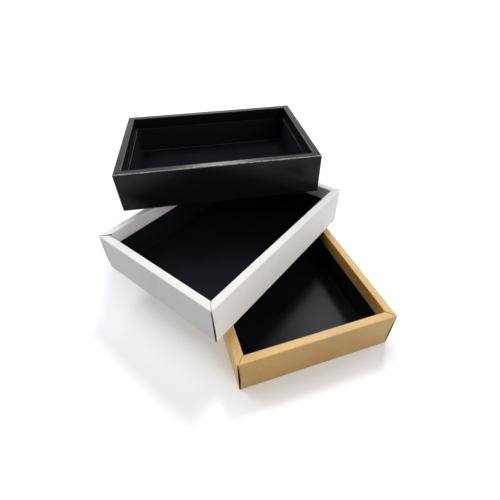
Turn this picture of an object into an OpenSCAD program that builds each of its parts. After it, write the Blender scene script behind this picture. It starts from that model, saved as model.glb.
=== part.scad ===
// A fanned stack of three equal food cartons, each with a loose black tray inside.
// Every carton and every tray is one sheet of folded board.
// The origin is the middle of the bottom carton's underside, with +Z up.

/* [Carton] */
// Outside length of each carton
carton_l = 226; // [180:1:280]
// Outside width of each carton
carton_w = 160; // [120:1:200]
// Outside height of each carton
carton_h = 45.5; // [36:0.5:60]
// Width of the ledge on top of the hollow walls
ledge_w = 8.3; // [6:0.1:14]
// Thickness of the carton board
board_t = 0.5; // [0.3:0.05:0.8]
// Inside radius of a carton fold
fold_r = 0.4; // [0.2:0.05:0.8]
// Width of the glue flap that holds each inner wall to the base
flap_w = 10; // [6:1:20]

/* [Carton corners] */
// How far each outer wall stops short of the corner
corner_slit = 0.7; // [0.5:0.05:1.5]
// Gap between two mitred edges
mitre_gap = 0.4; // [0.1:0.05:1]

/* [Tray] */
// Depth of the tray's rim below the ledge
rim_drop = 14.3; // [8:0.1:20]
// Thickness of the tray board
tray_t = 0.5; // [0.3:0.05:0.8]
// Inside radius of a tray fold
tray_fold_r = 0.4; // [0.2:0.05:0.8]
// Clearance between the tray and the carton's inner walls
tray_gap = 0.3; // [0.2:0.05:0.6]
// Width of the glue tab at each end of a long tray wall
tab_w = 12; // [8:1:25]
// How far a short tray wall stops short of the long ones
tab_slit = 0.2; // [0.1:0.05:0.5]

/* [Stack] */
// Turn of the kraft carton's long side from +X
kraft_turn = 90; // [80:0.1:100]
// Turn of the white carton's long side from +X
white_turn = 33.8; // [25:0.1:45]
// Turn of the black carton's long side from +X
black_turn = -9.1; // [-20:0.1:0]
// Sideways place of the white carton's middle
white_x = -42; // [-50:0.5:-30]
// Forward place of the white carton's middle
white_y = 44; // [35:0.5:50]
// Sideways place of the black carton's middle
black_x = -29; // [-40:0.5:-20]
// Forward place of the black carton's middle
black_y = 144.5; // [130:0.5:146]

/* [Hidden] */

// Outside radius of a carton fold and of a tray fold
fold_out = fold_r + board_t;
tray_fold_out = tray_fold_r + tray_t;
fold_fn = 32;

// Each mitred edge lies half the gap from the diagonal, measured here along the wall
mitre_back = mitre_gap / sqrt(2);

// The tray stands on the glue flaps, which lie on the base
tray_z = 2 * board_t;
tray_h = carton_h - rim_drop - tray_z;
tray_l = carton_l - 2 * (ledge_w + tray_gap);
tray_w = carton_w - 2 * (ledge_w + tray_gap);

// A quarter of a rounded fold, in the +X +Y quarter round its centre
module fold_2d(inside_r, t) {
    intersection() {
        difference() {
            circle(r = inside_r + t, $fn = fold_fn);
            circle(r = inside_r, $fn = fold_fn);
        }
        square(inside_r + t);
    }
}

// Section of one hollow wall: X is the distance in from the outer face, Y is the height
module hollow_wall_2d() {
    // Base under the hollow, up to the end of the glue flap
    translate([fold_out, 0]) square([ledge_w + flap_w - fold_out, board_t]);
    translate([fold_out, fold_out]) rotate(180) fold_2d(fold_r, board_t);
    // Outer wall
    translate([0, fold_out]) square([board_t, carton_h - 2 * fold_out]);
    translate([fold_out, carton_h - fold_out]) rotate(90) fold_2d(fold_r, board_t);
    // Ledge
    translate([fold_out, carton_h - board_t]) square([ledge_w - 2 * fold_out, board_t]);
    translate([ledge_w - fold_out, carton_h - fold_out]) fold_2d(fold_r, board_t);
    // Inner wall, down to its fold on the base
    translate([ledge_w - board_t, board_t + fold_out])
        square([board_t, carton_h - board_t - 2 * fold_out]);
    translate([ledge_w - board_t + fold_out, board_t + fold_out]) rotate(180) fold_2d(fold_r, board_t);
    // Glue flap, flat on the base
    translate([ledge_w - board_t + fold_out, board_t])
        square([flap_w + board_t - fold_out, board_t]);
}

// Plan of one side: upright walls end square, the ledge and the glue flap end in mitres
module side_plan_2d(length) {
    half = length / 2;
    flap_end = ledge_w + flap_w;
    right_end = [
        [half - corner_slit, 0],
        [half - corner_slit, board_t],
        [half - board_t - mitre_back, board_t],
        [half - ledge_w + board_t - mitre_back, ledge_w - board_t],
        [half - ledge_w - mitre_back, ledge_w - board_t],
        [half - ledge_w - mitre_back, ledge_w],
        [half - flap_end - mitre_back, flap_end]
    ];
    left_end = [for (i = [len(right_end) - 1 : -1 : 0]) [-right_end[i].x, right_end[i].y]];
    polygon(concat(right_end, left_end));
}

// One hollow wall along X, with its outer face at Y = 0 and its inside towards +Y
module hollow_wall(length) {
    intersection() {
        rotate([90, 0, 90]) linear_extrude(height = length, center = true) hollow_wall_2d();
        linear_extrude(height = carton_h) side_plan_2d(length);
    }
}

// A whole carton on Z = 0, centred, with its long side along X
module carton() {
    plate_l = carton_l - 2 * fold_out;
    plate_w = carton_w - 2 * fold_out;
    translate([-plate_l / 2, -plate_w / 2, 0]) cube([plate_l, plate_w, board_t]);
    for (turn = [0, 180]) rotate(turn) {
        translate([0, -carton_w / 2, 0]) hollow_wall(carton_l);
        rotate(90) translate([0, -carton_l / 2, 0]) hollow_wall(carton_w);
    }
}

// Section of one tray wall: X is the distance in from the outer face, Y is the height
module tray_wall_2d() {
    translate([tray_fold_out, 0]) square([tray_fold_out, tray_t]);
    translate([tray_fold_out, tray_fold_out]) rotate(180) fold_2d(tray_fold_r, tray_t);
    translate([0, tray_fold_out]) square([tray_t, tray_h - tray_fold_out]);
}

// A stretch of that section along X, with its outer face at Y = 0
module tray_wall(length) {
    rotate([90, 0, 90]) linear_extrude(height = length, center = true) tray_wall_2d();
}

// A rectangle with rounded corners, centred
module rounded_2d(length, width, r) {
    square([length - 2 * r, width], center = true);
    square([length, width - 2 * r], center = true);
    for (x = [-1, 1], y = [-1, 1])
        translate([x * (length / 2 - r), y * (width / 2 - r)]) circle(r = r, $fn = fold_fn);
}

// Plan of the two long walls, whose ends turn the corners into the glue tabs
module long_walls_2d() {
    difference() {
        rounded_2d(tray_l, tray_w, tray_fold_out);
        rounded_2d(tray_l - 2 * tray_t, tray_w - 2 * tray_t, tray_fold_r);
        square([tray_l + tray_t, tray_w - 2 * tab_w], center = true);
    }
}

// A whole tray on Z = 0, centred, with its long side along X
module tray() {
    // The short walls stand inside the glue tabs, so the base is shorter by the tabs' board
    plate_l = tray_l - 2 * (tray_t + tray_fold_out);
    plate_w = tray_w - 2 * tray_fold_out;
    short_wall_l = tray_w - 2 * (tray_t + tab_slit);
    upright_h = tray_h - tray_fold_out;
    translate([-plate_l / 2, -plate_w / 2, 0]) cube([plate_l, plate_w, tray_t]);
    translate([0, 0, tray_fold_out]) linear_extrude(height = upright_h) long_walls_2d();
    for (turn = [0, 180]) rotate(turn) {
        translate([0, -tray_w / 2, 0]) tray_wall(plate_l);
        rotate(90) translate([0, tray_t - tray_l / 2, 0]) {
            tray_wall(plate_w);
            translate([-short_wall_l / 2, 0, tray_fold_out]) cube([short_wall_l, tray_t, upright_h]);
        }
    }
}

// Puts a carton, or its tray, on one level of the stack
module on_level(level, x, y, turn) {
    translate([x, y, level * carton_h]) rotate(turn) children();
}

module kraft_carton() {
    color("#d2a86f") on_level(0, 0, 0, kraft_turn) carton();
}

module kraft_tray() {
    color("#16171a") on_level(0, 0, 0, kraft_turn) translate([0, 0, tray_z]) tray();
}

module white_carton() {
    color("#ecebe7") on_level(1, white_x, white_y, white_turn) carton();
}

module white_tray() {
    color("#16171a") on_level(1, white_x, white_y, white_turn) translate([0, 0, tray_z]) tray();
}

module black_carton() {
    color("#1d1f22") on_level(2, black_x, black_y, black_turn) carton();
}

module black_tray() {
    color("#16171a") on_level(2, black_x, black_y, black_turn) translate([0, 0, tray_z]) tray();
}

kraft_carton();
kraft_tray();
white_carton();
white_tray();
black_carton();
black_tray();
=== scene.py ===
"""Dresses the fanned stack of food cartons as real folded board, and lights it for its picture.

Lengths are in metres, in the part's own frame: the origin is the middle of the kraft carton's underside, +Z is up
and the stack fans out towards +Y. Colours are linear red, green and blue.
"""
from __future__ import annotations

import logging
import math
from dataclasses import dataclass, field
from enum import Enum
from typing import Callable

import bmesh
import bpy
from mathutils import Matrix, Vector, noise


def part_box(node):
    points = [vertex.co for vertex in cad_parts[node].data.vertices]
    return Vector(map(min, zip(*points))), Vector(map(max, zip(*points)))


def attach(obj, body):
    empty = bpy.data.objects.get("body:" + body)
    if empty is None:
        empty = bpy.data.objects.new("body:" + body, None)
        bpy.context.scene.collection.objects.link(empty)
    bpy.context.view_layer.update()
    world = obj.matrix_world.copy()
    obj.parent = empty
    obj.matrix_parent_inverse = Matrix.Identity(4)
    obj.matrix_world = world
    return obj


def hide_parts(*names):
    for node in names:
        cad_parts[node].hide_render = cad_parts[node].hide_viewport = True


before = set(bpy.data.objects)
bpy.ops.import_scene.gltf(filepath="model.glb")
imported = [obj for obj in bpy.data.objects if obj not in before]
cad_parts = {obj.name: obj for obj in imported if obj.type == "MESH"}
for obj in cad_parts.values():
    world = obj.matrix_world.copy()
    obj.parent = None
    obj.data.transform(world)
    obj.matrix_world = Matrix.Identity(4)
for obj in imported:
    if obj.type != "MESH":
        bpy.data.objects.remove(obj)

log = logging.getLogger("stack")

Colour = tuple[float, float, float]
# A point of a sheet: where it is, where it lies on the flat blank, and how creased it is
SheetPoint = tuple[Vector, Vector, float]

MM = 0.001
BODY = "root"
# The point attribute and the UV map that the boards' materials read
CREASE = "crease"
BLANK = "blank"
# The node groups that the boards share
GRAIN = "board_grain"
WEAR_AND_SHEEN = "crease_wear"
# How near two rows of points are to be welded, and the angle past which an edge is drawn sharp
WELD = 0.01 * MM
SHARP_ANGLE = 40.0
# Width of the tight rows of a base, beside its folds
BASE_EDGE = 0.2 * MM


class Panel(Enum):
    """The panels that a board is folded into."""

    BASE = "base"
    OUTER_WALL = "outer wall"
    LEDGE = "ledge"
    INNER_WALL = "inner wall"
    FLAP = "glue flap"


class Side(Enum):
    """The four walls of a box, by the turn that brings each one to the front."""

    FRONT = 0
    RIGHT = 90
    BACK = 180
    LEFT = 270

    @property
    def is_long(self) -> bool:
        """True for the walls that run along the box's length."""
        return self in (Side.FRONT, Side.BACK)


class Group:
    """A shader node tree that is filled node by node."""

    def __init__(self, tree: bpy.types.NodeTree) -> None:
        """Takes the tree to fill.

        Args:
            tree: A material's, world's or group's node tree.
        """
        self.tree = tree

    def add(self, kind: str, settings: dict[str, object] | None = None, **inputs: object) -> bpy.types.Node:
        """Adds a node, sets its options and fills or links its inputs.

        Args:
            kind: The node's type name, without the ShaderNode at its start.
            settings: Options of the node, such as its operation.
            **inputs: Values or output sockets, by input name, with _ for a space; in_0 is the first input.

        Returns:
            The new node.
        """
        node = self.tree.nodes.new("ShaderNode" + kind)
        for name, value in (settings or {}).items():
            setattr(node, name, value)
        for name, value in inputs.items():
            socket = node.inputs[int(name[3:])] if name.startswith("in_") else node.inputs[name.replace("_", " ")]
            if isinstance(value, bpy.types.NodeSocket):
                self.tree.links.new(value, socket)
            else:
                socket.default_value = value
        return node

    def math(self, operation: str, *terms: object, clamp: bool = False) -> bpy.types.NodeSocket:
        """Adds a Math node.

        Args:
            operation: The node's operation, such as MULTIPLY.
            *terms: Its values or sockets, in order.
            clamp: Whether the result stays between 0 and 1.

        Returns:
            The result's socket.
        """
        settings = {"operation": operation, "use_clamp": clamp}
        return self.add("Math", settings, **{f"in_{i}": term for i, term in enumerate(terms)}).outputs[0]

    def ramp(self, value: object, low: float, high: float, start: float = 0.0,
             end: float = 1.0) -> bpy.types.NodeSocket:
        """Maps low to high onto start to end, smoothly.

        Args:
            value: The socket to map.
            low: Value that gives start.
            high: Value that gives end.
            start: Result at low.
            end: Result at high.

        Returns:
            The mapped value's socket.
        """
        settings = {"interpolation_type": "SMOOTHSTEP"}
        return self.add("MapRange", settings, Value=value, From_Min=low, From_Max=high,
                        To_Min=start, To_Max=end).outputs["Result"]

    def mix(self, factor: object, first: object, second: object) -> bpy.types.NodeSocket:
        """Mixes two colours.

        Args:
            factor: 0 for the first colour and 1 for the second.
            first: A colour or its socket.
            second: A colour or its socket.

        Returns:
            The mixed colour's socket.
        """
        node = self.tree.nodes.new("ShaderNodeMix")
        node.data_type = "RGBA"
        # A mix of colours has its factor in input 0, its colours in 6 and 7 and its result in output 2
        for index, value in ((0, factor), (6, first), (7, second)):
            if isinstance(value, bpy.types.NodeSocket):
                self.tree.links.new(value, node.inputs[index])
            elif index == 0:
                node.inputs[index].default_value = value
            else:
                node.inputs[index].default_value = (*value, 1.0)
        return node.outputs[2]

    def noise(self, vector: object, scale: float, detail: float = 3.0, rough: float = 0.55) -> bpy.types.NodeSocket:
        """Adds a noise.

        Args:
            vector: The coordinates' socket.
            scale: How many features lie along one metre.
            detail: How many finer layers it has.
            rough: How strong the finer layers are.

        Returns:
            The noise's value socket.
        """
        return self.add("TexNoise", Vector=vector, Scale=scale, Detail=detail, Roughness=rough).outputs["Fac"]

    def stretch(self, vector: object, turn: float, along: float, across: float) -> bpy.types.NodeSocket:
        """Turns flat coordinates and stretches them, so that a noise on them becomes streaks.

        Args:
            vector: The coordinates' socket.
            turn: The streaks' direction, in radians.
            along: Scale along the streaks.
            across: Scale across the streaks.

        Returns:
            The new coordinates' socket.
        """
        return self.add("Mapping", Vector=vector, Rotation=(0, 0, turn), Scale=(along, across, 1)).outputs["Vector"]


def empty_material(name: str) -> tuple[bpy.types.Material, Group]:
    """Makes a material that has no nodes yet.

    Args:
        name: The material's name.

    Returns:
        The material, and its node tree to fill.
    """
    material = bpy.data.materials.new(name)
    material.use_nodes = True
    material.node_tree.nodes.clear()
    return material, Group(material.node_tree)


def board_grain_group() -> bpy.types.NodeTree:
    """Builds the pattern that every board shares: cloudy pulp, short fibres and specks.

    Returns:
        The node group, with outputs Cloud, Fibre, Speck and Height.
    """
    tree = bpy.data.node_groups.new(GRAIN, "ShaderNodeTree")
    tree.interface.new_socket("Vector", in_out="INPUT", socket_type="NodeSocketVector")
    tree.interface.new_socket("Flat", in_out="INPUT", socket_type="NodeSocketVector")
    for name in ("Cloud", "Fibre", "Speck", "Height"):
        tree.interface.new_socket(name, in_out="OUTPUT", socket_type="NodeSocketFloat")
    group = Group(tree)
    given = tree.nodes.new("NodeGroupInput")
    result = tree.nodes.new("NodeGroupOutput")
    vector, flat = given.outputs["Vector"], given.outputs["Flat"]

    cloud = group.noise(vector, scale=30.0, detail=5.0, rough=0.62)
    fibre = None
    for turn, scale in ((0.35, 2600.0), (1.9, 2100.0), (2.75, 3100.0)):
        streak = group.noise(group.stretch(flat, turn, along=0.16, across=1.0), scale, detail=1.0)
        streak = group.ramp(streak, low=0.6, high=0.72)
        fibre = streak if fibre is None else group.math("MAXIMUM", fibre, streak)
    speck = group.ramp(group.noise(vector, scale=900.0, detail=2.0, rough=0.5), low=0.66, high=0.76)
    tooth = group.noise(vector, scale=2400.0, detail=3.0, rough=0.6)
    height = group.math("ADD", group.math("MULTIPLY", tooth, 0.6), group.math("MULTIPLY", fibre, 0.4))
    for name, socket in (("Cloud", cloud), ("Fibre", fibre), ("Speck", speck), ("Height", height)):
        tree.links.new(socket, result.inputs[name])
    return tree


def wear_and_sheen_group() -> bpy.types.NodeTree:
    """Builds the line along folds, broken where the face has cracked: worn board, on black also a painted highlight.

    Returns:
        The node group, with inputs Crease and Vector and the output Wear_and_sheen.
    """
    tree = bpy.data.node_groups.new(WEAR_AND_SHEEN, "ShaderNodeTree")
    tree.interface.new_socket("Crease", in_out="INPUT", socket_type="NodeSocketFloat")
    tree.interface.new_socket("Vector", in_out="INPUT", socket_type="NodeSocketVector")
    tree.interface.new_socket("Wear_and_sheen", in_out="OUTPUT", socket_type="NodeSocketFloat")
    group = Group(tree)
    given = tree.nodes.new("NodeGroupInput")
    result = tree.nodes.new("NodeGroupOutput")
    breaks = group.noise(given.outputs["Vector"], scale=300.0, detail=4.0, rough=0.7)
    breaks = group.ramp(breaks, low=0.35, high=0.65, start=0.3)
    line = group.ramp(given.outputs["Crease"], low=0.25, high=1.0)
    tree.links.new(group.math("MULTIPLY", line, breaks), result.inputs["Wear_and_sheen"])
    return tree


@dataclass(frozen=True)
class BoardFinish:
    """The finish of one kind of board: its printed or bare faces, and its cut edges.

    The face drifts to cloud_face in soft clouds, and its roughness swings with them. Each amount is how far a fibre,
    a speck or a crease takes the face to its own colour. The crease colour is worn board, and on the black board
    also a painted highlight along the folds. A tooth is the depth of the small bumps.
    """

    name: str
    slot: str
    face: Colour
    cloud_face: Colour
    fibre: Colour
    fibre_amount: float
    speck: Colour
    speck_amount: float
    # The crease colour: worn board, and on the black board also a painted highlight along the folds
    crease: Colour
    crease_amount: float
    core: Colour
    rough: float
    rough_swing: float
    crease_rough: float
    specular: float
    tooth: float
    ior: float = 1.5
    core_shade: float = 0.72
    core_rough: float = 0.9
    core_specular: float = 0.2
    core_tooth: float = 0.04 * MM

    def materials(self) -> list[bpy.types.Material]:
        """Builds the face's and the cut edge's materials, in the order of the mesh's slots."""
        return [self._face_material(), self._core_material()]

    def _face_material(self) -> bpy.types.Material:
        """Builds the material of the board's faces.

        Returns:
            The material, with pulp clouds, fibres, specks and worn creases, which on black are also painted
            highlights.
        """
        material, group = empty_material(self.name + "_face")
        place = group.add("TexCoord").outputs["Object"]
        flat = group.add("UVMap", {"uv_map": BLANK}).outputs["UV"]
        crease = group.add("Attribute", {"attribute_name": CREASE}).outputs["Fac"]
        grain = group.add("Group", {"node_tree": bpy.data.node_groups[GRAIN]}, Vector=place, Flat=flat)
        wear = group.add("Group", {"node_tree": bpy.data.node_groups[WEAR_AND_SHEEN]}, Crease=crease, Vector=place)
        # The crease mark: worn board, and on the black board also a painted highlight along the folds
        worn = group.math("MULTIPLY", wear.outputs["Wear_and_sheen"], self.crease_amount)

        colour = group.mix(group.ramp(grain.outputs["Cloud"], low=0.34, high=0.66), self.face, self.cloud_face)
        colour = group.mix(group.math("MULTIPLY", grain.outputs["Fibre"], self.fibre_amount), colour, self.fibre)
        colour = group.mix(group.math("MULTIPLY", grain.outputs["Speck"], self.speck_amount), colour, self.speck)
        colour = group.mix(worn, colour, self.crease)
        swing = group.math("MULTIPLY_ADD", grain.outputs["Cloud"], self.rough_swing, self.rough - self.rough_swing / 2)
        rough = group.math("MULTIPLY_ADD", worn, self.crease_rough, swing, clamp=True)
        bump = group.add("Bump", Strength=1.0, Distance=self.tooth, Height=grain.outputs["Height"])
        board = group.add("BsdfPrincipled", Base_Color=colour, Roughness=rough, Normal=bump.outputs["Normal"])
        board.inputs["Specular IOR Level"].default_value = self.specular
        board.inputs["IOR"].default_value = self.ior
        group.add("OutputMaterial", Surface=board.outputs["BSDF"])
        return material

    def _core_material(self) -> bpy.types.Material:
        """Builds the material of the board's cut edges, in layers along the sheet.

        Returns:
            The material.
        """
        material, group = empty_material(self.name + "_cut_edge")
        place = group.add("TexCoord").outputs["Object"]
        layers = group.noise(place, scale=1800.0, detail=3.0, rough=0.7)
        shaded = tuple(self.core_shade * channel for channel in self.core)
        colour = group.mix(group.ramp(layers, low=0.35, high=0.65), self.core, shaded)
        bump = group.add("Bump", Strength=1.0, Distance=self.core_tooth, Height=layers)
        board = group.add("BsdfPrincipled", Base_Color=colour, Normal=bump.outputs["Normal"])
        board.inputs["Roughness"].default_value = self.core_rough
        board.inputs["Specular IOR Level"].default_value = self.core_specular
        group.add("OutputMaterial", Surface=board.outputs["BSDF"])
        return material


KRAFT = BoardFinish(
    name="kraft", slot="kraft_board",
    face=(0.675, 0.402, 0.103), cloud_face=(0.59, 0.345, 0.082),
    fibre=(0.42, 0.24, 0.09), fibre_amount=0.3, speck=(0.3, 0.16, 0.06), speck_amount=0.4,
    crease=(0.78, 0.56, 0.27), crease_amount=0.5, core=(0.55, 0.41, 0.21),
    rough=0.42, rough_swing=0.08, crease_rough=0.1, specular=0.7, tooth=0.02 * MM)

WHITE = BoardFinish(
    name="white", slot="white_board",
    face=(0.86, 0.85, 0.83), cloud_face=(0.84, 0.828, 0.805),
    fibre=(0.68, 0.66, 0.63), fibre_amount=0.2, speck=(0.6, 0.57, 0.53), speck_amount=0.15,
    crease=(0.87, 0.862, 0.845), crease_amount=0.5, core=(0.62, 0.59, 0.54),
    rough=0.6, rough_swing=0.1, crease_rough=0.15, specular=0.35, tooth=0.016 * MM)

# The black board's pale crease colour is partly cracked coating and partly a painted highlight on every fold
BLACK = BoardFinish(
    name="black", slot="black_board",
    face=(0.0064, 0.0068, 0.0079), cloud_face=(0.0070, 0.0075, 0.0087),
    fibre=(0.011, 0.011, 0.012), fibre_amount=0.2, speck=(0.02, 0.02, 0.02), speck_amount=0.12,
    crease=(0.62, 0.61, 0.58), crease_amount=0.9, core=(0.10, 0.097, 0.09),
    rough=0.19, rough_swing=0.012, crease_rough=0.3, specular=0.36, tooth=0.002 * MM, ior=1.35)

TRAY = BoardFinish(
    name="tray", slot="tray_board",
    face=(0.0088, 0.0098, 0.0124), cloud_face=(0.0102, 0.0113, 0.0142),
    fibre=(0.012, 0.012, 0.013), fibre_amount=0.15, speck=(0.018, 0.018, 0.018), speck_amount=0.08,
    crease=(0.12, 0.118, 0.11), crease_amount=0.75, core=(0.21, 0.205, 0.195),
    rough=0.26, rough_swing=0.05, crease_rough=0.25, specular=0.18, tooth=0.004 * MM, ior=1.2)


@dataclass(frozen=True)
class Place:
    """Where a box stands: the middle of its underside, and the turn of its long side from +X."""

    centre: Vector
    turn: float

    @classmethod
    def of_node(cls, node: str, turn_degrees: float) -> "Place":
        """Reads a box's place off the frame.

        Args:
            node: The box's node.
            turn_degrees: The turn of its long side from +X.

        Returns:
            The place.
        """
        low, high = (Vector(corner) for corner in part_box(node))
        middle = (low + high) / 2
        return cls(Vector((middle.x, middle.y, low.z)), math.radians(turn_degrees))

    def matrix(self) -> Matrix:
        """Gives the move from a box's own axes to its place in the stack."""
        return Matrix.Translation(self.centre) @ Matrix.Rotation(self.turn, 4, "Z")


@dataclass
class Station:
    """One row of points across a folded panel's section."""

    inward: float
    height: float
    travel: float
    crease: float
    panel: Panel


@dataclass
class Section:
    """The section of a folded sheet, walked along the middle of the board."""

    inward: float
    height: float
    heading: float
    travel: float = 0.0
    stations: list[Station] = field(default_factory=list)

    def panel(self, panel: Panel, length: float, rows: int, edge: float = 0.35 * MM) -> "Section":
        """Goes straight on along a flat panel, with a tight row beside each fold.

        Args:
            panel: Which panel it is.
            length: Its length.
            rows: How many rows of faces it gets between the tight ones.
            edge: Width of the tight rows.

        Returns:
            This section.
        """
        if not self.stations:
            self._mark(panel, 0.0)
        steps = [edge] + [(length - 2 * edge) / rows] * rows + [edge]
        for step in steps:
            self.inward += step * math.cos(self.heading)
            self.height += step * math.sin(self.heading)
            self.travel += step
            self._mark(panel, 0.0)
        return self

    def fold(self, panel: Panel, radius: float, side: int, wear: float = 1.0, steps: int = 6,
             fade: float = 0.6) -> "Section":
        """Turns a quarter round a fold.

        Args:
            panel: The panel that the fold leads to.
            radius: Radius of the fold at the middle of the board.
            side: 1 to turn towards the left of the heading, -1 towards the right.
            wear: How strongly the fold is marked, from 0 to 1: worn board, and on black also a painted highlight.
            steps: How many faces the fold has.
            fade: How much of the fold's mark is left on its last row.

        Returns:
            This section.
        """
        turn = side * math.pi / 2
        centre_heading = self.heading + turn
        centre = (self.inward + radius * math.cos(centre_heading), self.height + radius * math.sin(centre_heading))
        for step in range(1, steps + 1):
            angle = self.heading - turn + turn * step / steps
            self.inward = centre[0] + radius * math.cos(angle)
            self.height = centre[1] + radius * math.sin(angle)
            self.travel += radius * math.pi / 2 / steps
            self._mark(panel, wear if step < steps else fade * wear)
        self.heading += turn
        return self

    def _mark(self, panel: Panel, crease: float) -> None:
        """Adds a station here."""
        self.stations.append(Station(self.inward, self.height, self.travel, crease, panel))


def wave(across: float, up: float, layer: float) -> float:
    """Gives a smooth random height from -1 to 1, at a place counted in waves on one of many layers."""
    return noise.noise(Vector((across, up, layer)))


def spread(fraction: float, even: float = 0.45, bunched: float = 0.55) -> float:
    """Moves evenly spaced fractions from -1 to 1 a little towards the ends, where the detail is."""
    return even * fraction + bunched * math.sin(fraction * math.pi / 2)


def sheet_grid(columns: int, rows: int, place: Callable[[float, int], SheetPoint]) -> bmesh.types.BMesh:
    """Makes a grid of faces and lays it along a folded shape.

    Args:
        columns: How many faces it has along the wall.
        rows: How many faces it has across the section.
        place: Gives a point of the sheet, for a fraction from -1 to 1 along it and a row.

    Returns:
        The grid, with the blank's coordinates as UVs and the crease as a float layer.
    """
    bm = bmesh.new()
    bmesh.ops.create_grid(bm, x_segments=columns, y_segments=rows, size=1.0)
    crease = bm.verts.layers.float.new(CREASE)
    blank = bm.loops.layers.uv.new(BLANK)
    flat: dict[bmesh.types.BMVert, Vector] = {}
    for vert in bm.verts:
        row = round((vert.co.y + 1) / 2 * rows)
        vert.co, flat[vert], vert[crease] = place(vert.co.x, row)
    for face in bm.faces:
        for loop in face.loops:
            loop[blank].uv = flat[loop.vert].xy
    return bm


def join_into(target: bmesh.types.BMesh, part: bmesh.types.BMesh, move: Matrix) -> None:
    """Adds a part to a sheet.

    Args:
        target: The sheet.
        part: The part, which is used up.
        move: Where the part goes.
    """
    bmesh.ops.transform(part, matrix=move, verts=part.verts)
    mesh = bpy.data.meshes.new("part")
    part.to_mesh(mesh)
    part.free()
    target.from_mesh(mesh)
    bpy.data.meshes.remove(mesh)


def finish_sheet(name: str, sheet: bmesh.types.BMesh, board: float, finish: BoardFinish,
                 place: Place) -> bpy.types.Object:
    """Welds a sheet, gives it the board's thickness and its materials, and puts it in the stack.

    Args:
        name: The piece's name.
        sheet: The sheet along the middle of the board, which is used up.
        board: The board's thickness.
        finish: The board's finish.
        place: Where the box stands.

    Returns:
        The finished piece.
    """
    bmesh.ops.remove_doubles(sheet, verts=sheet.verts, dist=WELD)
    bmesh.ops.recalc_face_normals(sheet, faces=sheet.faces)
    bmesh.ops.transform(sheet, matrix=place.matrix(), verts=sheet.verts)
    mesh = bpy.data.meshes.new(name)
    sheet.to_mesh(mesh)
    sheet.free()
    for polygon in mesh.polygons:
        polygon.use_smooth = True
    piece = bpy.data.objects.new(name, mesh)
    bpy.context.scene.collection.objects.link(piece)
    for material in finish.materials():
        mesh.materials.append(material)
    solid = piece.modifiers.new("board", "SOLIDIFY")
    solid.thickness = board
    solid.offset = 0.0
    solid.use_even_offset = True
    solid.use_rim = True
    # The rim takes the material after the face's, which is the cut edge's
    solid.material_offset_rim = 1
    # The thickness goes into the mesh here, so that the sharp edges can be marked on it
    bpy.context.view_layer.update()
    depsgraph = bpy.context.evaluated_depsgraph_get()
    thick = bpy.data.meshes.new_from_object(piece.evaluated_get(depsgraph))
    piece.modifiers.clear()
    piece.data = thick
    thick.name = name
    thick.set_sharp_from_angle(angle=math.radians(SHARP_ANGLE))
    bpy.data.meshes.remove(mesh)
    return piece


@dataclass(frozen=True)
class WallEnd:
    """How one end of a wall stands open.

    Its middle, foot and top are how much further the outer wall stops short of the corner there, and its mitre is how
    much further the ledge stops short of the diagonal at the inner corner.
    """

    middle: float = 0.0
    foot: float = 0.0
    top: float = 0.0
    mitre: float = 0.0


@dataclass(frozen=True)
class WallShape:
    """How one wall is sprung: its bow outwards, and how its two ends stand open."""

    bow: float = 0.0
    left: WallEnd = WallEnd()
    right: WallEnd = WallEnd()


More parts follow.
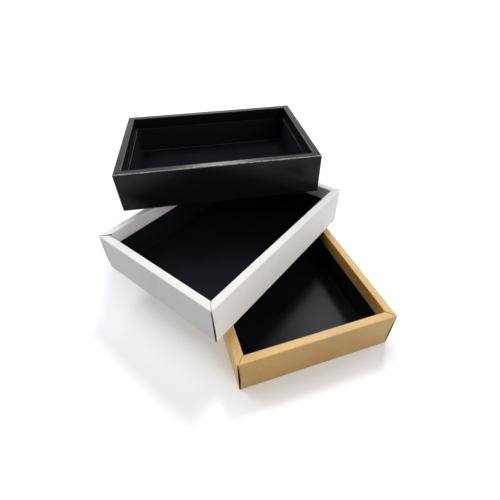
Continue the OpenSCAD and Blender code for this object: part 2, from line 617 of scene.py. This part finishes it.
@dataclass
class Carton:
    """A frame carton: one sheet, folded up and over into four hollow walls round a base.

    The mitre's share is how much of a mitre's opening its outer end has. The inner wall's share is how much of the
    outer wall's bow and ripple it has, and the ledge's is how much of the ripple. Waves are counted to the metre.
    """

    name: str
    node: str
    place: Place
    finish: BoardFinish
    length: float
    width: float
    height: float
    ledge: float = 8.3 * MM
    board: float = 0.5 * MM
    fold_inside: float = 0.4 * MM
    flap: float = 10 * MM
    corner_slit: float = 0.7 * MM
    mitre_gap: float = 0.4 * MM
    mitre_share: float = 0.2
    # How worn each fold is; on the black carton this also sets the strength of a painted highlight along it
    outer_fold_wear_and_sheen: float = 0.32
    inner_fold_wear: float = 0.36
    flap_fold_wear_and_sheen: float = 0.3
    ripple: float = 0.06 * MM
    waves_along: float = 14.0
    waves_up: float = 22.0
    ledge_waves: float = 12.0
    inner_wall_share: float = 0.15
    ledge_share: float = 0.5
    columns: int = 56
    shapes: dict[Side, WallShape] = field(default_factory=dict)

    @property
    def fold_out(self) -> float:
        """Outside radius of a fold."""
        return self.fold_inside + self.board

    def section(self) -> Section:
        """Walks the section of a hollow wall, from the base out, up, over and down to the glue flap.

        Returns:
            The section.
        """
        radius = self.fold_inside + self.board / 2
        section = Section(inward=2 * self.fold_out, height=self.board / 2, heading=math.pi)
        section.panel(Panel.BASE, self.fold_out, rows=1, edge=BASE_EDGE)
        section.fold(Panel.OUTER_WALL, radius, -1, wear=self.outer_fold_wear_and_sheen)
        section.panel(Panel.OUTER_WALL, self.height - 2 * self.fold_out, rows=12)
        section.fold(Panel.LEDGE, radius, -1)
        section.panel(Panel.LEDGE, self.ledge - 2 * self.fold_out, rows=3)
        section.fold(Panel.INNER_WALL, radius, -1, wear=self.inner_fold_wear)
        section.panel(Panel.INNER_WALL, self.height - self.board - 2 * self.fold_out, rows=8)
        section.fold(Panel.FLAP, radius, 1, wear=self.flap_fold_wear_and_sheen)
        section.panel(Panel.FLAP, self.flap + self.board - self.fold_out, rows=2)
        return section

    def _reach(self, station: Station, half: float, shape: WallShape, right: bool) -> float:
        """Says how far along the wall a row reaches.

        Args:
            station: The row.
            half: Half the box's length along this wall.
            shape: How the wall is sprung.
            right: Whether this is the wall's right end.

        Returns:
            The distance from the wall's middle to the row's end.
        """
        rise = min(max(station.height / self.height, 0.0), 1.0)
        end = shape.right if right else shape.left
        if station.panel is Panel.BASE:
            return half - station.inward
        if station.panel is Panel.OUTER_WALL:
            # The foot's opening starts from nothing at the fold, reaches its width just above it and dies away upwards
            opening = end.middle * math.sin(math.pi * rise) ** 0.8 + end.foot * (1 - rise) ** 2 * min(1.0, rise * 12)
            corner = max(self.corner_slit, min(station.inward, self.fold_out)) if rise < 0.5 else self.corner_slit
            return half - corner - opening - end.top * rise ** 4
        mitre = self.mitre_gap / math.sqrt(2)
        if station.panel is Panel.LEDGE:
            # The ledge's corner is cut back at the outer edge, as far as the top of the wall under it
            share = self.mitre_share + (1 - self.mitre_share) * (station.inward / self.ledge) ** 3
            mitre += end.mitre * share + end.top * max(0.0, 1 - station.inward / (2 * end.top + MM))
        if station.panel is Panel.INNER_WALL:
            mitre += end.mitre * rise ** 3
            if station.inward > self.ledge - self.board:
                return half - self.ledge - mitre
        return half - max(station.inward, self.board) - mitre

    def _wall(self, side: Side) -> bmesh.types.BMesh:
        """Makes one hollow wall, with its outer face at -Y and its run along X.

        Args:
            side: Which wall it is.

        Returns:
            The wall's sheet.
        """
        half, depth = (self.length, self.width) if side.is_long else (self.width, self.length)
        half, depth = half / 2, depth / 2
        shape = self.shapes.get(side, WallShape())
        stations = self.section().stations
        # Each wall of each box has its own ripple
        seed = 31.0 * side.value / 90 + 7.0 * self.place.turn

        def place(fraction: float, row: int) -> SheetPoint:
            """Places a point of the wall.

            Args:
                fraction: How far along it is, from -1 to 1.
                row: Its row of the section.

            Returns:
                The point of the sheet.
            """
            station = stations[row]
            reach = self._reach(station, half, shape, fraction > 0)
            along = reach * spread(fraction)
            inward, height = station.inward, station.height
            rise = min(max(height / self.height, 0.0), 1.0)
            swell = math.sin(math.pi * rise)
            if station.panel in (Panel.OUTER_WALL, Panel.INNER_WALL):
                warp = wave(along * self.waves_along + seed, height * self.waves_up, layer=0.5)
                share = 1.0 if station.panel is Panel.OUTER_WALL else self.inner_wall_share
                inward -= share * swell * (shape.bow * (1 - (along / half) ** 2) + self.ripple * warp)
            if station.panel is Panel.LEDGE:
                warp = wave(along * self.ledge_waves + seed, up=3.5, layer=0.5)
                height += self.ripple * warp * self.ledge_share * (1 - station.crease)
            point = Vector((along, inward - depth, height))
            return point, Vector((along, -depth - station.travel, 0.0)), station.crease

        return sheet_grid(self.columns, len(stations) - 1, place)

    def _base(self) -> bmesh.types.BMesh:
        """Makes the base, up to the rows that the walls start from.

        Returns:
            The base's sheet.
        """
        edge = 2 * self.fold_out
        half_x, half_y = self.length / 2 - edge, self.width / 2 - edge

        def place(fraction: float, row: int) -> SheetPoint:
            """Places a point of the base, for a fraction along and a row across."""
            point = Vector((half_x * spread(fraction), half_y * spread(2 * row / self.columns - 1), self.board / 2))
            return point, point, 0.0

        return sheet_grid(self.columns, self.columns, place)

    def build(self) -> bpy.types.Object:
        """Makes the carton and lets it stand for its node.

        Returns:
            The carton.
        """
        sheet = self._base()
        for side in Side:
            join_into(sheet, self._wall(side), Matrix.Rotation(math.radians(side.value), 4, "Z"))
        piece = finish_sheet(self.name, sheet, self.board, self.finish, self.place)
        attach(piece, BODY)
        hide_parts(self.node)
        return piece


@dataclass
class Tray:
    """A plain tray: one sheet with four walls, whose long walls turn the corners into glue tabs.

    The lean is how far in each wall stands at its foot. Each side's fold is as worn as worn says, or else as fold_wear
    says. The tab's columns are where its points stand, as shares of its width.
    """

    name: str
    node: str
    place: Place
    finish: BoardFinish
    length: float
    width: float
    height: float
    board: float = 0.5 * MM
    fold_inside: float = 0.4 * MM
    tab: float = 12 * MM
    tab_slit: float = 0.2 * MM
    tab_columns: tuple[float, ...] = (0.05, 0.5, 1.0)
    fold_wear: float = 0.3
    ripple: float = 0.08 * MM
    waves_along: float = 16.0
    waves_up: float = 12.0
    base_waves: float = 9.0
    columns: int = 40
    turn_columns: int = 5
    lean: dict[Side, float] = field(default_factory=dict)
    worn: dict[Side, float] = field(default_factory=dict)

    @property
    def fold_out(self) -> float:
        """Outside radius of a fold."""
        return self.fold_inside + self.board

    def section(self, side: Side) -> Section:
        """Walks the section of a wall, from the base out and up to the rim.

        Args:
            side: Which wall it is.

        Returns:
            The section.
        """
        section = Section(inward=2 * self.fold_out, height=self.board / 2, heading=math.pi)
        section.panel(Panel.BASE, self.fold_out, rows=1, edge=BASE_EDGE)
        section.fold(Panel.OUTER_WALL, self.fold_inside + self.board / 2, -1, wear=self.worn.get(side, self.fold_wear))
        section.panel(Panel.OUTER_WALL, self.height - self.fold_out, rows=10)
        return section

    def _leant(self, point: Vector) -> Vector:
        """Moves a point in as far as the wall on its side leans there, which is most at the foot.

        Args:
            point: A point of the upright tray.

        Returns:
            The point of the leaning one.
        """
        foot = 1 - min(point.z / self.height, 1.0)
        along = self.lean.get(Side.RIGHT if point.x > 0 else Side.LEFT, 0.0) / (self.length / 2)
        across = self.lean.get(Side.BACK if point.y > 0 else Side.FRONT, 0.0) / (self.width / 2)
        return Vector((point.x * (1 - foot * along), point.y * (1 - foot * across), point.z))

    def _warp(self, along: float, height: float, seed: float) -> float:
        """Gives the wall's small bend inwards, which is largest at the rim."""
        warp = wave(along * self.waves_along + seed, height * self.waves_up, layer=2.5)
        return self.ripple * (height / self.height) * (1 + warp) / 2

    def _base(self) -> bmesh.types.BMesh:
        """Makes the base, up to the rows that the walls start from.

        Returns:
            The base's sheet.
        """
        half_x = self.length / 2 - self.board - 2 * self.fold_out
        half_y = self.width / 2 - 2 * self.fold_out

        def place(fraction: float, row: int) -> SheetPoint:
            """Places a point of the base.

            Args:
                fraction: How far along it is, from -1 to 1.
                row: Its row across.

            Returns:
                The point of the sheet.
            """
            other = 2 * row / self.columns - 1
            x, y = half_x * spread(fraction), half_y * spread(other)
            warp = wave(x * self.base_waves, y * self.base_waves, layer=4.5)
            lift = self.ripple * (1 - fraction ** 2) * (1 - other ** 2) * warp
            return Vector((x, y, self.board / 2 + abs(lift))), Vector((x, y, 0)), 0.0

        return sheet_grid(self.columns, self.columns, place)

    def _short_wall(self, side: Side) -> bmesh.types.BMesh:
        """Makes a short wall, which stands inside the glue tabs.

        Args:
            side: Which wall it is.

        Returns:
            The wall's sheet, with its run along X.
        """
        stations = self.section(side).stations
        depth = self.length / 2 - self.board
        half = self.width / 2

        def place(fraction: float, row: int) -> SheetPoint:
            """Places a point of the wall.

            Args:
                fraction: How far along it is, from -1 to 1.
                row: Its row of the section.

            Returns:
                The point of the sheet.
            """
            station = stations[row]
            reach = half - station.inward if station.panel is Panel.BASE else half - self.fold_out
            if station.height > self.fold_out:
                reach = half - self.board - self.tab_slit
            along = reach * spread(fraction)
            inward = station.inward + self._warp(along, station.height, 3.0 * side.value) * (1 - fraction ** 2)
            return (Vector((along, inward - depth, station.height)),
                    Vector((along, -depth - station.travel, 0)), station.crease)

        return sheet_grid(self.columns, len(stations) - 1, place)

    def _long_wall(self, side: Side) -> bmesh.types.BMesh:
        """Makes a long wall and the glue tabs that it turns into at its ends.

        Args:
            side: Which wall it is.

        Returns:
            The wall's sheet, with its run along X.
        """
        stations = self.section(side).stations
        depth, half = self.width / 2, self.length / 2
        radius = self.fold_inside + self.board / 2
        # The tail is where the columns of points stand along one end: past the base, round the corner and on the tab
        straight_end = half - self.fold_out
        plate_end = half - self.board - self.fold_out
        arc = radius * math.pi / 2
        tail = [plate_end, straight_end]
        tail += [straight_end + arc * (step + 1) / self.turn_columns for step in range(self.turn_columns)]
        tail += [straight_end + arc + (self.tab - self.fold_out) * share for share in self.tab_columns]
        inner = [spread(2 * step / self.columns - 1) for step in range(self.columns + 1)]
        runs = [-distance for distance in reversed(tail[1:])] + inner + tail[1:]
        extra = len(tail) - 1
        columns = len(runs) - 1

        def place(fraction: float, row: int) -> SheetPoint:
            """Places a point of the wall or of its tabs.

            Args:
                fraction: How far along it is, from -1 to 1.
                row: Its row of the section.

            Returns:
                The point of the sheet.
            """
            column = round((fraction + 1) / 2 * columns)
            station = stations[row]
            reach = half - self.board - station.inward if station.panel is Panel.BASE else plate_end
            if extra <= column <= columns - extra:
                along = runs[column] * reach
                inward = station.inward + self._warp(along, station.height, 5.0 * side.value)
                return (Vector((along, inward - depth, station.height)),
                        Vector((along, -depth - station.travel, 0)), station.crease)
            sign = 1 if runs[column] > 0 else -1
            distance = abs(runs[column])
            flat = Vector((sign * distance, -depth - station.travel, 0))
            if distance <= straight_end:
                return Vector((sign * distance, station.inward - depth, station.height)), flat, station.crease
            angle = min(1.0, (distance - straight_end) / arc) * math.pi / 2
            beyond = max(0.0, distance - straight_end - arc)
            x = straight_end + radius * math.sin(angle)
            y = self.fold_out - radius * math.cos(angle) + beyond
            crease = self.fold_wear if 0 < angle < math.pi / 2 else station.crease
            return Vector((sign * x, y - depth, station.height)), flat, crease

        wall = sheet_grid(columns, len(stations) - 1, place)
        low = [face for face in wall.faces
               if face.calc_center_median().z < self.fold_out and abs(face.calc_center_median().x) > plate_end]
        bmesh.ops.delete(wall, geom=low, context="FACES")
        return wall

    def build(self) -> bpy.types.Object:
        """Makes the tray and lets it stand for its node.

        Returns:
            The tray.
        """
        sheet = self._base()
        for side in Side:
            wall = self._long_wall(side) if side.is_long else self._short_wall(side)
            join_into(sheet, wall, Matrix.Rotation(math.radians(side.value), 4, "Z"))
        for vert in sheet.verts:
            vert.co = self._leant(vert.co)
        piece = finish_sheet(self.name, sheet, self.board, self.finish, self.place)
        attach(piece, BODY)
        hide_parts(self.node)
        return piece


@dataclass(frozen=True)
class Camera:
    """The photograph's camera, as found from the boxes' corners."""

    place: tuple[float, float, float] = (-0.10773, -0.25195, 0.30889)
    yaw: float = 16.917
    pitch: float = 42.574
    roll: float = -1.669
    lens: float = 23.871
    sensor: float = 36.0
    near: float = 0.01
    far: float = 100.0

    def build(self) -> bpy.types.Object:
        """Makes the camera and looks through it.

        Returns:
            The camera.
        """
        data = bpy.data.cameras.new("camera")
        data.lens, data.sensor_width = self.lens, self.sensor
        data.clip_start, data.clip_end = self.near, self.far
        camera = bpy.data.objects.new("camera", data)
        camera.matrix_world = (Matrix.Translation(self.place) @ Matrix.Rotation(math.radians(-self.yaw), 4, "Z")
                               @ Matrix.Rotation(math.radians(90 - self.pitch), 4, "X")
                               @ Matrix.Rotation(math.radians(self.roll), 4, "Z"))
        bpy.context.scene.collection.objects.link(camera)
        bpy.context.scene.camera = camera
        return camera


def direction(bearing: float, elevation: float) -> Vector:
    """Gives the direction of a light.

    Args:
        bearing: Degrees from +Y towards +X.
        elevation: Degrees above the floor.

    Returns:
        The unit vector towards the light.
    """
    bearing, elevation = math.radians(bearing), math.radians(elevation)
    return Vector((math.sin(bearing) * math.cos(elevation), math.cos(bearing) * math.cos(elevation),
                   math.sin(elevation)))


@dataclass(frozen=True)
class Screen:
    """A large far-off lit screen, given by the width of the circle that it fills, in degrees."""

    name: str
    bearing: float
    elevation: float
    width: float
    strength: float

    def build(self) -> bpy.types.Object:
        """Makes the screen as a wide sun.

        Returns:
            The lamp.
        """
        data = bpy.data.lights.new(self.name, "SUN")
        data.energy, data.angle = self.strength, math.radians(self.width)
        lamp = bpy.data.objects.new(self.name, data)
        lamp.matrix_world = direction(self.bearing, self.elevation).to_track_quat("Z", "Y").to_matrix().to_4x4()
        bpy.context.scene.collection.objects.link(lamp)
        return lamp


@dataclass(frozen=True)
class Studio:
    """The pale floor, the bright surroundings and the soft lights.

    Where the floor is seen, floor_shown brightens its colour and floor_lift is added to it. The sky is its strength
    as a light.
    """

    floor_size: float = 30.0
    floor_colour: Colour = (0.436, 0.449, 0.465)
    floor_shown: float = 2.12
    floor_lift: float = 0.2
    sky: float = 0.02
    screens: tuple[Screen, ...] = (
        Screen("key_screen", 150.0, 58.0, 32.0, 0.32),
        Screen("front_top_screen", 152.0, 38.0, 32.0, 0.28),
        Screen("front_screen", 156.0, 14.0, 32.0, 0.7),
        Screen("right_screen", 80.0, 14.0, 32.0, 1.8),
        Screen("back_right_screen", 38.0, 55.0, 9.0, 0.86),
        Screen("back_screen", 12.0, 33.0, 12.0, 0.34),
        Screen("left_top_screen", 332.0, 62.0, 32.0, 0.94),
        Screen("left_screen", 317.0, 14.0, 32.0, 1.2),
        Screen("left_edge_screen", 284.0, 14.0, 32.0, 0.68),
    )

    def _floor(self) -> None:
        """Makes the floor, which the camera sees as nearly white and which keeps the object's shadow."""
        bm = bmesh.new()
        bmesh.ops.create_grid(bm, x_segments=1, y_segments=1, size=self.floor_size / 2)
        mesh = bpy.data.meshes.new("floor")
        bm.to_mesh(mesh)
        bm.free()
        floor = bpy.data.objects.new("floor", mesh)
        bpy.context.scene.collection.objects.link(floor)
        material, group = empty_material("floor")
        seen = self._seen(group)
        shown = tuple(channel * self.floor_shown for channel in self.floor_colour)
        paint = group.add("BsdfDiffuse", Color=group.mix(seen, self.floor_colour, shown))
        lift = group.add("Emission", Color=(1, 1, 1, 1), Strength=group.math("MULTIPLY", seen, self.floor_lift))
        both = group.add("AddShader", in_0=paint.outputs[0], in_1=lift.outputs[0])
        group.add("OutputMaterial", Surface=both.outputs[0])
        mesh.materials.append(material)

    def _surroundings(self) -> None:
        """Makes the sky: dim as a light, and white where it is seen."""
        world = bpy.data.worlds.new("surroundings")
        bpy.context.scene.world = world
        world.use_nodes = True
        world.node_tree.nodes.clear()
        group = Group(world.node_tree)
        sky = group.add("Background", Color=(1, 1, 1, 1), Strength=self.sky)
        shown = group.add("Background", Color=(1, 1, 1, 1), Strength=1.0)
        both = group.add("MixShader", in_0=self._seen(group), in_1=sky.outputs[0], in_2=shown.outputs[0])
        group.add("OutputWorld", Surface=both.outputs[0])

    def _seen(self, group: Group) -> bpy.types.NodeSocket:
        """Tells the rays that see the white background, which are the camera's and those of mirrors and glass.

        Args:
            group: The node tree that needs to know.

        Returns:
            The socket that gives 1 for those rays and 0 for the rest.
        """
        rays = group.add("LightPath")
        seen = group.math("MAXIMUM", rays.outputs["Is Camera Ray"], rays.outputs["Is Glossy Ray"])
        return group.math("MAXIMUM", seen, rays.outputs["Is Transmission Ray"])

    def build(self) -> None:
        """Makes the floor, the surroundings and the lights."""
        self._floor()
        self._surroundings()
        for screen in self.screens:
            screen.build()
        bpy.context.scene.view_settings.view_transform = "Standard"


@dataclass(frozen=True)
class Box:
    """One box of the stack: its board, its turn from +X, how its walls are sprung and how its tray leans."""

    colour: str
    finish: BoardFinish
    turn: float
    shapes: dict[Side, WallShape]
    lean: dict[Side, float]
    worn: dict[Side, float] = field(default_factory=dict)

    def carton(self, size: tuple[float, float, float]) -> Carton:
        """Gives the box's carton, from its length, width and height."""
        node = f"{self.colour}_carton"
        return Carton(f"{node}_board", node, Place.of_node(node, self.turn), self.finish, *size, shapes=self.shapes)

    def tray(self, size: tuple[float, float, float]) -> Tray:
        """Gives the box's tray, from its length, width and height."""
        node = f"{self.colour}_tray"
        return Tray(f"{node}_board", node, Place.of_node(node, self.turn), TRAY, *size, lean=self.lean, worn=self.worn)


KRAFT_BOX = Box(
    colour="kraft", finish=KRAFT, turn=90.0,
    shapes={
        Side.FRONT: WallShape(bow=0.2 * MM, left=WallEnd(middle=-0.55 * MM, mitre=0.3 * MM)),
        Side.RIGHT: WallShape(bow=0.35 * MM),
        Side.BACK: WallShape(bow=0.3 * MM, right=WallEnd(middle=0.7 * MM)),
        Side.LEFT: WallShape(bow=0.9 * MM, left=WallEnd(middle=1.3 * MM, foot=0.5 * MM),
                             right=WallEnd(middle=1.9 * MM, foot=1.0 * MM, mitre=0.6 * MM))},
    lean={Side.FRONT: 1.0 * MM, Side.RIGHT: 1.0 * MM, Side.BACK: 2.0 * MM, Side.LEFT: 1.0 * MM})

WHITE_BOX = Box(
    colour="white", finish=WHITE, turn=33.8,
    shapes={
        Side.FRONT: WallShape(bow=0.6 * MM, left=WallEnd(middle=0.5 * MM, foot=0.7 * MM), right=WallEnd(top=0.9 * MM)),
        Side.RIGHT: WallShape(bow=0.25 * MM, left=WallEnd(top=0.9 * MM)),
        Side.BACK: WallShape(bow=0.25 * MM, right=WallEnd(middle=-0.55 * MM, mitre=1.8 * MM)),
        Side.LEFT: WallShape(bow=0.3 * MM, left=WallEnd(middle=1.8 * MM, foot=0.9 * MM, mitre=2.0 * MM),
                             right=WallEnd(middle=0.4 * MM, foot=0.5 * MM))},
    lean={side: 1.5 * MM for side in Side})

BLACK_BOX = Box(
    colour="black", finish=BLACK, turn=-9.1,
    shapes={side: WallShape(bow=0.25 * MM) for side in Side},
    lean={Side.FRONT: 0.5 * MM, Side.RIGHT: 4.0 * MM, Side.BACK: 5.4 * MM, Side.LEFT: 3.0 * MM},
    worn={Side.BACK: 1.0})


@dataclass
class BoxStack:
    """The three boxes, from the bottom up, as they lie on each other."""

    boxes: tuple[Box, ...] = (KRAFT_BOX, WHITE_BOX, BLACK_BOX)

    def _size(self, node: str) -> tuple[float, float, float]:
        """Reads a size off the frame.

        Args:
            node: A node of the kraft box, whose length runs along Y.

        Returns:
            The node's length, width and height.
        """
        low, high = (Vector(corner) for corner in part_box(node))
        size = high - low
        return size.y, size.x, size.z

    def build(self) -> list[bpy.types.Object]:
        """Makes every carton and every tray.

        Returns:
            The pieces, from the bottom up.
        """
        carton_size, tray_size = self._size("kraft_carton"), self._size("kraft_tray")
        pieces = []
        for box in self.boxes:
            for maker in (box.carton(carton_size), box.tray(tray_size)):
                piece = maker.build()
                log.info("%s: %d faces", piece.name, len(piece.data.polygons))
                pieces.append(piece)
        return pieces


def main() -> None:
    """Builds the camera, the stack and the studio, and notes the sizes."""
    logging.basicConfig(level=logging.INFO, format="%(name)s: %(message)s")
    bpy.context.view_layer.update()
    Camera().build()
    board_grain_group()
    wear_and_sheen_group()
    BoxStack().build()
    Studio().build()


if __name__ == "__main__":
    main()
